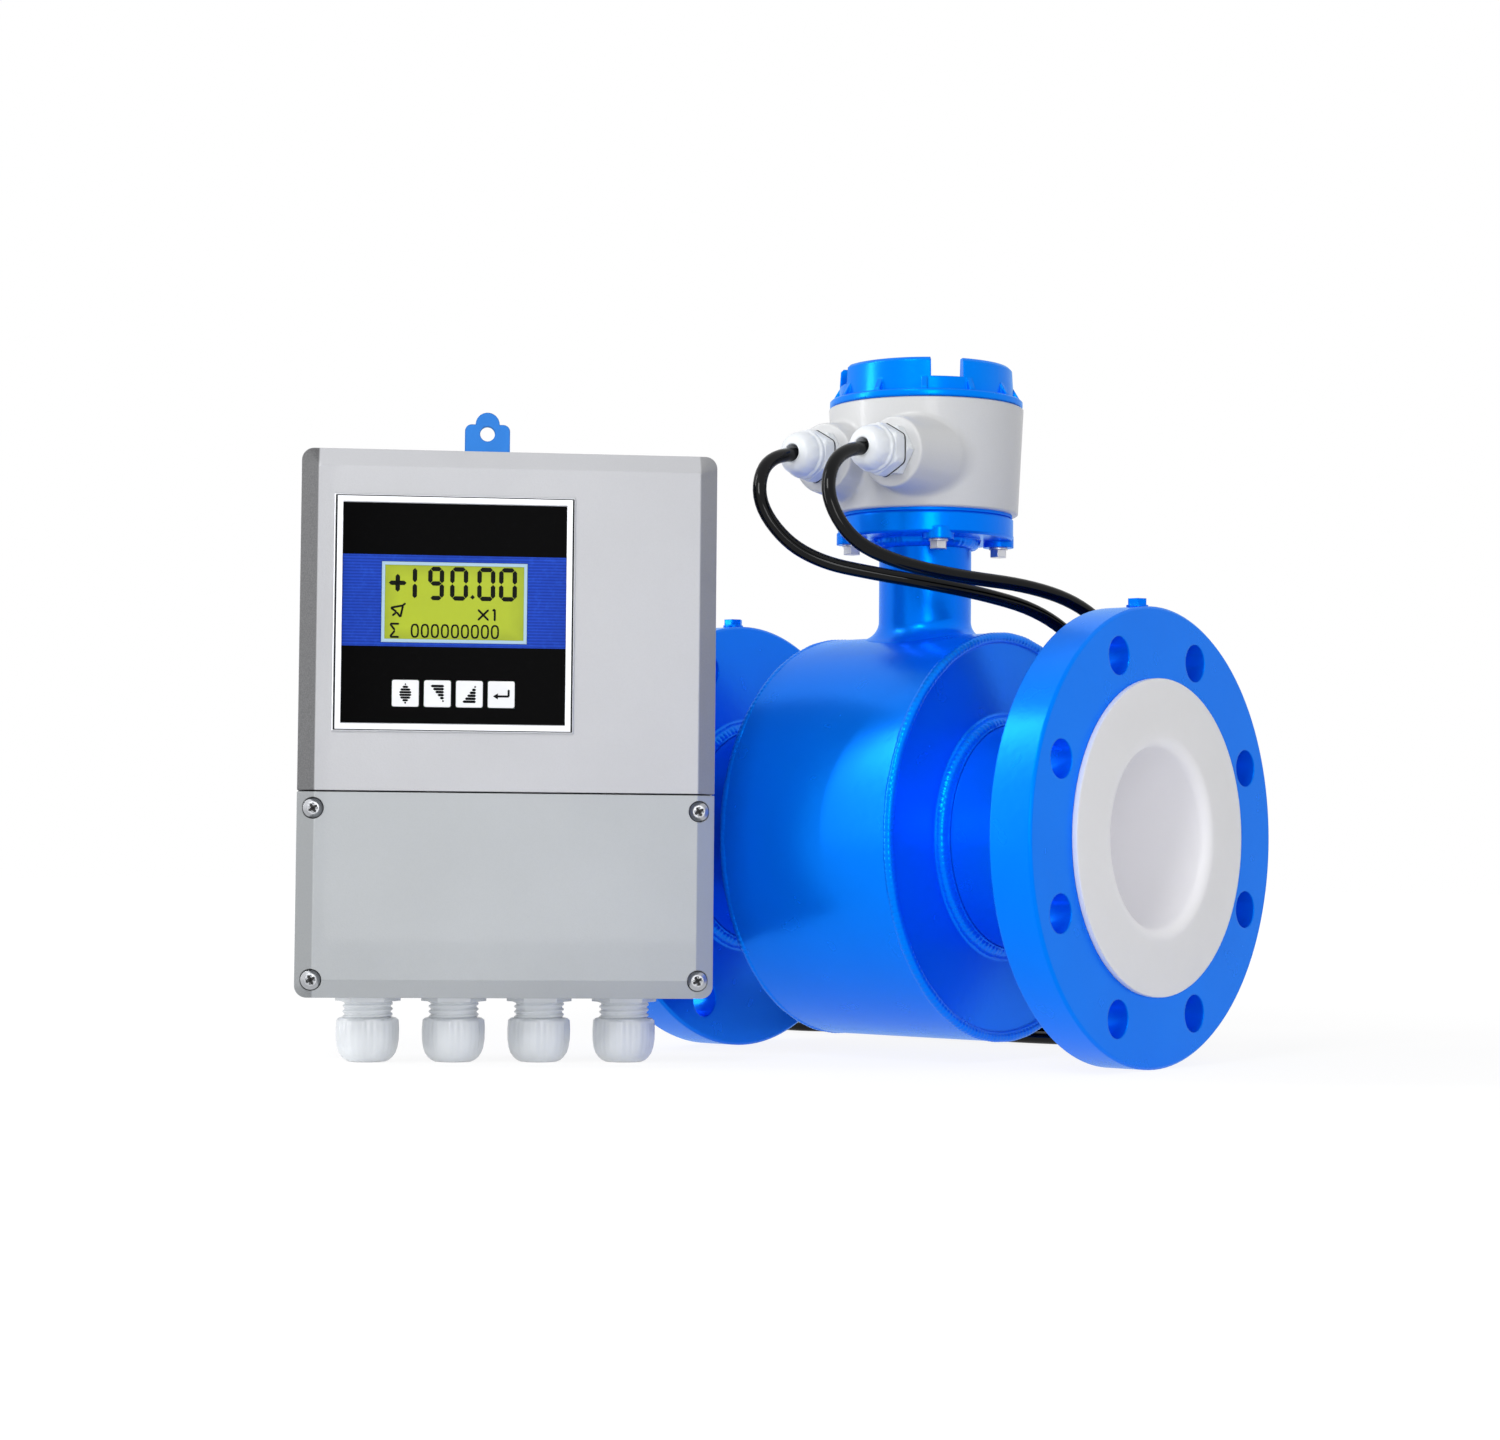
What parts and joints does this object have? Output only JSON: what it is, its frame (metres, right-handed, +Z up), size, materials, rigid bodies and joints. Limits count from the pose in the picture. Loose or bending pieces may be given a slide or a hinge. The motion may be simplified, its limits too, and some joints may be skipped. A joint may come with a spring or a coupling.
{
  "type": "electromagnetic flow meter",
  "caption": "Flanged electromagnetic flow sensor with a neck and junction box, cabled glands, and a separate wall-type converter with display and keys.",
  "frame": {"origin": "centre of the flow bore, midway between the liner faces", "axes": "+X along the pipe towards the outlet flange, +Z up through the neck and junction box, -Y the side of the cable glands; all feet stand at z = -0.1143"},
  "size_m": [0.373, 0.5779, 0.3596],
  "materials": {
    "blue_paint": "glossy azure blue enamel",
    "tube_steel": "stainless tube, painted blue outside between the flanges",
    "cap_paint": "glossy azure blue enamel on cast aluminium",
    "box_paint": "light grey powder coat on cast aluminium",
    "liner_white": "white fluoropolymer, softly translucent",
    "electrode_steel": "stainless",
    "bush_plastic": "natural plastic",
    "zinc_steel": "bright zinc plate",
    "screw_paint": "blue enamel over zinc plate",
    "magnet_iron": "bare electrical iron",
    "winding": "varnished copper winding",
    "wire_red": "insulated lead wire",
    "seal_rubber": "black seal rubber",
    "terminal_green": "green terminal plastic",
    "gland_white": "white nylon, satin",
    "cable_black": "glossy black PVC",
    "boot_black": "shrink boot, coloured cores with ferrules",
    "converter_grey": "light grey powder coat on cast aluminium",
    "terminal_cover_grey": "light grey powder coat, slightly greener",
    "frame_silver": "silver frame",
    "overlay_black": "black panel with a blue band",
    "lcd_green": "yellow-green display with dark figures",
    "key_white": "white keys with black signs",
    "board_green": "green circuit board",
    "module_black": "potted black module",
    "hanger_blue": "matt blue paint on sheet steel"
  },
  "bodies": {
    "instrument": {"inlet_flange": "blue_paint", "outlet_flange": "blue_paint", "housing_shell": "blue_paint", "inlet_end_plate": "blue_paint", "outlet_end_plate": "blue_paint", "neck_tube": "blue_paint", "neck_flange": "blue_paint", "measuring_tube": "tube_steel", "junction_box": "box_paint", "liner": "liner_white", "front_electrode": "electrode_steel", "rear_electrode": "electrode_steel", "electrode_bushes": "bush_plastic", "electrode_nuts": "zinc_steel", "box_bolts": "zinc_steel", "terminal_cover_screws": "zinc_steel", "front_cover_screws": "zinc_steel", "hanger_screws": "zinc_steel", "ground_screws": "screw_paint", "upper_pole_core": "magnet_iron", "lower_pole_core": "magnet_iron", "return_yoke": "magnet_iron", "upper_coil": "winding", "lower_coil": "winding", "sensor_wiring": "wire_red", "box_gasket": "seal_rubber", "gland_seals": "seal_rubber", "cover_gasket": "seal_rubber", "box_terminal_block": "terminal_green", "terminal_strip": "terminal_green", "signal_gland_body": "gland_white", "signal_gland_nut": "gland_white", "excitation_gland_body": "gland_white", "excitation_gland_nut": "gland_white", "converter_gland_bodies": "gland_white", "converter_gland_nuts": "gland_white", "converter_gland_plugs": "gland_white", "converter_locknuts": "gland_white", "signal_cable": "cable_black", "signal_coil": "cable_black", "excitation_cable": "cable_black", "excitation_coil": "cable_black", "signal_cable_end": "boot_black", "excitation_cable_end": "boot_black", "converter_housing": "converter_grey", "front_cover": "converter_grey", "terminal_cover": "terminal_cover_grey", "display_frame": "frame_silver", "display_overlay": "overlay_black", "lcd_module": "lcd_green", "display_board": "board_green", "main_board": "board_green", "power_module": "module_black", "hanger_bracket": "hanger_blue"},
    "cap_seal": {"cap_seal": "seal_rubber"},
    "cap": {"junction_cap": "cap_paint"},
    "menu_key": {"menu_key": "key_white"},
    "down_key": {"down_key": "key_white"},
    "up_key": {"up_key": "key_white"},
    "enter_key": {"enter_key": "key_white"}
  },
  "joints": [
    {"name": "cap_lift", "type": "slide", "parent": "instrument", "child": "cap_seal", "axis": [0, 0, 1], "range_m": [0, 0.0102]},
    {"name": "cap_turn", "type": "hinge", "parent": "cap_seal", "child": "cap", "pos_m": [0, 0, 0.2244], "axis": [0, 0, 1], "range_deg": [0, 1800]},
    {"name": "menu_key_press", "type": "slide", "parent": "instrument", "child": "menu_key", "axis": [-0.7071, 0.7071, 0], "range_m": [0, 0.0005], "stiffness_N_per_m": 1500},
    {"name": "down_key_press", "type": "slide", "parent": "instrument", "child": "down_key", "axis": [-0.7071, 0.7071, 0], "range_m": [0, 0.0005], "stiffness_N_per_m": 1500},
    {"name": "up_key_press", "type": "slide", "parent": "instrument", "child": "up_key", "axis": [-0.7071, 0.7071, 0], "range_m": [0, 0.0005], "stiffness_N_per_m": 1500},
    {"name": "enter_key_press", "type": "slide", "parent": "instrument", "child": "enter_key", "axis": [-0.7071, 0.7071, 0], "range_m": [0, 0.0005], "stiffness_N_per_m": 1500}
  ],
  "couplings": [
    {"joint": "cap_lift", "follows": "cap_turn", "m_per_rad": 0.00031831}
  ]
}
